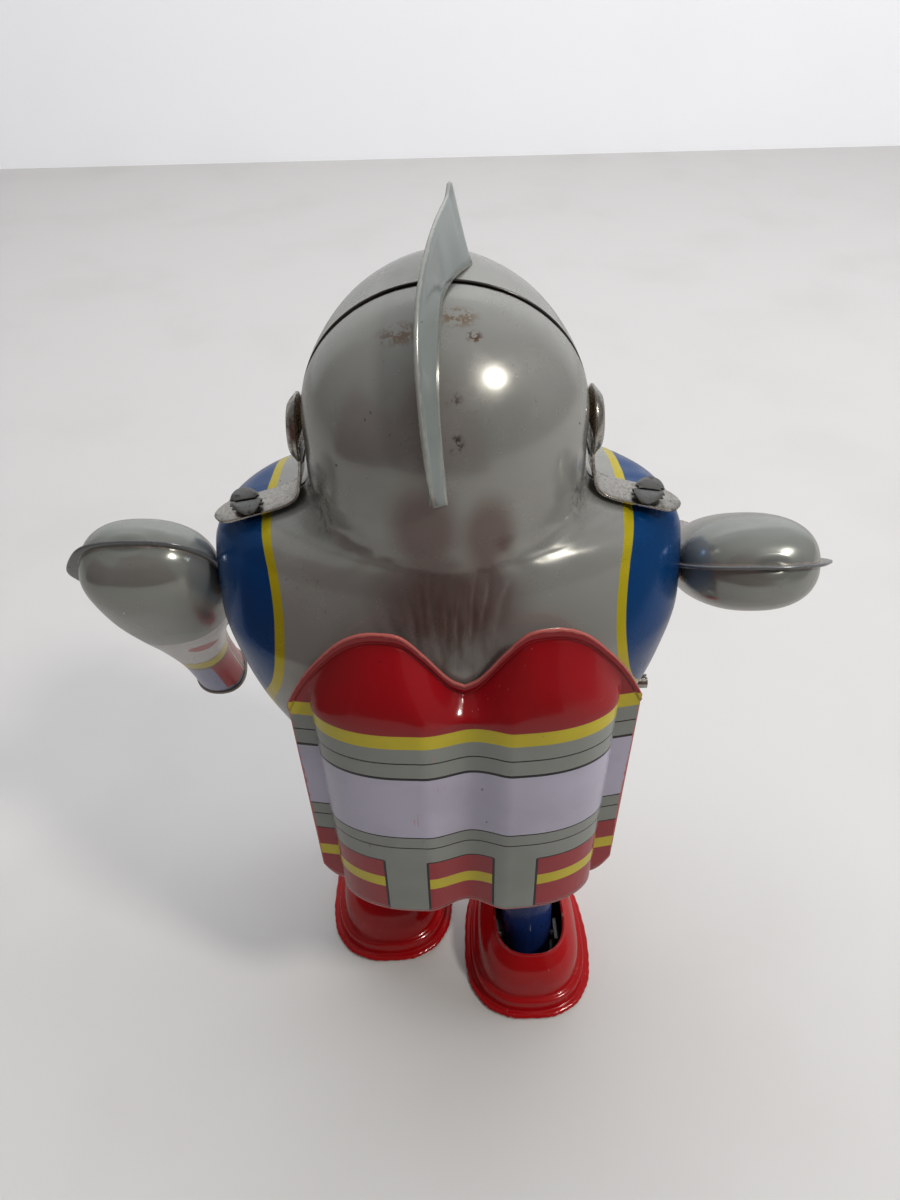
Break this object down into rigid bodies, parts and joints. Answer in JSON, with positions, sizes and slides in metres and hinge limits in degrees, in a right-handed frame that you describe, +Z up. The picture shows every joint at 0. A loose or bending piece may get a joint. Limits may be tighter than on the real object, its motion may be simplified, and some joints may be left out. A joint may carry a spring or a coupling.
{
  "type": "tin wind-up robot",
  "caption": "Free-standing clockwork walking robot of pressed tinplate with a domed head, crest, twin-lobe back pack, swinging arms and legs, and a side winding stem.",
  "frame": {"origin": "on the surface that the soles stand on, under the middle of the robot's bounding box", "axes": "+Z up, the back and its pack face +Y, the face looks along -Y, the robot's own left is +X"},
  "size_m": [0.1712, 0.1033, 0.23],
  "materials": {
    "grey_enamel": "glossy lithographed tinplate",
    "blue_enamel": "glossy lithographed tinplate",
    "red_enamel": "glossy lithographed tinplate",
    "black_enamel": "glossy lithographed tinplate",
    "nickel_plate": "bright, worn",
    "plain_steel": "pressed and turned",
    "brass": "stamped and cut",
    "black_rubber": "moulded"
  },
  "bodies": {
    "body": {"rear_casing": "grey_enamel", "front_casing": "grey_enamel", "base_plate": "grey_enamel", "casing_tabs": "grey_enamel", "crest": "grey_enamel", "visor": "black_enamel", "mouth_grille": "nickel_plate", "chest_plate": "blue_enamel", "left_ear_dish": "nickel_plate", "right_ear_dish": "nickel_plate", "left_ear_strap": "nickel_plate", "right_ear_strap": "nickel_plate", "left_split_tab": "plain_steel", "right_split_tab": "plain_steel", "rocket_pack": "red_enamel", "pack_tabs": "grey_enamel", "left_shoulder_bush": "brass", "right_shoulder_bush": "brass", "motor_plate_left": "plain_steel", "motor_plate_right": "plain_steel", "motor_pillars": "plain_steel", "motor_bracket": "plain_steel", "hip_rod": "plain_steel", "mainspring": "plain_steel"},
    "winding": {"winding_arbor": "plain_steel", "ratchet_wheel": "brass"},
    "great": {"great_wheel": "brass", "click_spring": "brass"},
    "click_arm": {"click": "plain_steel"},
    "second": {"second_pinion": "plain_steel", "second_wheel": "brass"},
    "crank": {"crank_pinion": "plain_steel", "crank_wheel": "brass", "left_crank": "plain_steel", "right_crank": "plain_steel"},
    "governor": {"governor_pinion": "plain_steel", "flywheel": "brass"},
    "left_leg": {"left_leg_tube": "blue_enamel", "left_leg_lever": "plain_steel"},
    "left_foot": {"left_shoe": "red_enamel", "left_sole_plate": "plain_steel", "left_ankle_pin": "plain_steel", "left_roller_axle": "plain_steel"},
    "left_wheel": {"left_roller": "black_rubber"},
    "left_arm": {"left_arm_rear": "grey_enamel", "left_arm_front": "grey_enamel", "left_arm_axle": "plain_steel", "left_arm_lever": "plain_steel"},
    "right_leg": {"right_leg_tube": "blue_enamel", "right_leg_lever": "plain_steel"},
    "right_foot": {"right_shoe": "red_enamel", "right_sole_plate": "plain_steel", "right_ankle_pin": "plain_steel", "right_roller_axle": "plain_steel"},
    "right_wheel": {"right_roller": "black_rubber"},
    "right_arm": {"right_arm_rear": "grey_enamel", "right_arm_front": "grey_enamel", "right_arm_axle": "plain_steel", "right_arm_lever": "plain_steel"}
  },
  "joints": [
    {"name": "left_leg_swing", "type": "hinge", "parent": "body", "child": "left_leg", "pos_m": [0, 0.0093, 0.08], "axis": [1, 0, 0], "range_deg": [0, 16]},
    {"name": "right_leg_swing", "type": "hinge", "parent": "body", "child": "right_leg", "pos_m": [0, 0.0093, 0.08], "axis": [1, 0, 0], "range_deg": [-16, 0]},
    {"name": "left_ankle_turn", "type": "hinge", "parent": "left_leg", "child": "left_foot", "pos_m": [0, -0.0007, 0.00971], "axis": [1, 0, 0], "range_deg": [-16, 0]},
    {"name": "right_ankle_turn", "type": "hinge", "parent": "right_leg", "child": "right_foot", "pos_m": [0, 0.0193, 0.00971], "axis": [1, 0, 0], "range_deg": [0, 16]},
    {"name": "left_arm_swing", "type": "hinge", "parent": "body", "child": "left_arm", "pos_m": [0, 0.0093, 0.15], "axis": [1, 0, 0], "range_deg": [-28.8, 0]},
    {"name": "right_arm_swing", "type": "hinge", "parent": "body", "child": "right_arm", "pos_m": [0, 0.0093, 0.15], "axis": [1, 0, 0], "range_deg": [0, 28.8]},
    {"name": "great_wheel_spin", "type": "hinge", "parent": "body", "child": "great", "pos_m": [0, 0.0143, 0.119], "axis": [1, 0, 0], "continuous": true},
    {"name": "second_wheel_spin", "type": "hinge", "parent": "body", "child": "second", "pos_m": [0, -0.00426, 0.11091], "axis": [1, 0, 0], "continuous": true},
    {"name": "crank_spin", "type": "hinge", "parent": "body", "child": "crank", "pos_m": [0, 0.0093, 0.101], "axis": [1, 0, 0], "continuous": true},
    {"name": "governor_spin", "type": "hinge", "parent": "body", "child": "governor", "pos_m": [0, 0.01778, 0.09252], "axis": [1, 0, 0], "continuous": true},
    {"name": "click_lift", "type": "hinge", "parent": "great", "child": "click_arm", "pos_m": [0, 0.01612, 0.12934], "axis": [1, 0, 0], "range_deg": [0, 12]},
    {"name": "winding", "type": "hinge", "parent": "body", "child": "winding", "pos_m": [0, 0.0143, 0.119], "axis": [1, 0, 0], "range_deg": [0, 1800]},
    {"name": "left_roller_spin", "type": "hinge", "parent": "left_foot", "child": "left_wheel", "pos_m": [0, -0.0197, 0.0044], "axis": [1, 0, 0], "continuous": true},
    {"name": "right_roller_spin", "type": "hinge", "parent": "right_foot", "child": "right_wheel", "pos_m": [0, 0.0003, 0.0044], "axis": [1, 0, 0], "continuous": true}
  ],
  "couplings": [
    {"joint": "right_leg_swing", "follows": "left_leg_swing", "ratio": -1},
    {"joint": "left_ankle_turn", "follows": "left_leg_swing", "ratio": -1},
    {"joint": "right_ankle_turn", "follows": "left_leg_swing", "ratio": 1},
    {"joint": "left_arm_swing", "follows": "left_leg_swing", "ratio": -1.8},
    {"joint": "right_arm_swing", "follows": "left_leg_swing", "ratio": 1.8},
    {"joint": "great_wheel_spin", "follows": "governor_spin", "ratio": -0.031746},
    {"joint": "second_wheel_spin", "follows": "governor_spin", "ratio": 0.11111},
    {"joint": "crank_spin", "follows": "governor_spin", "ratio": -0.33333}
  ]
}
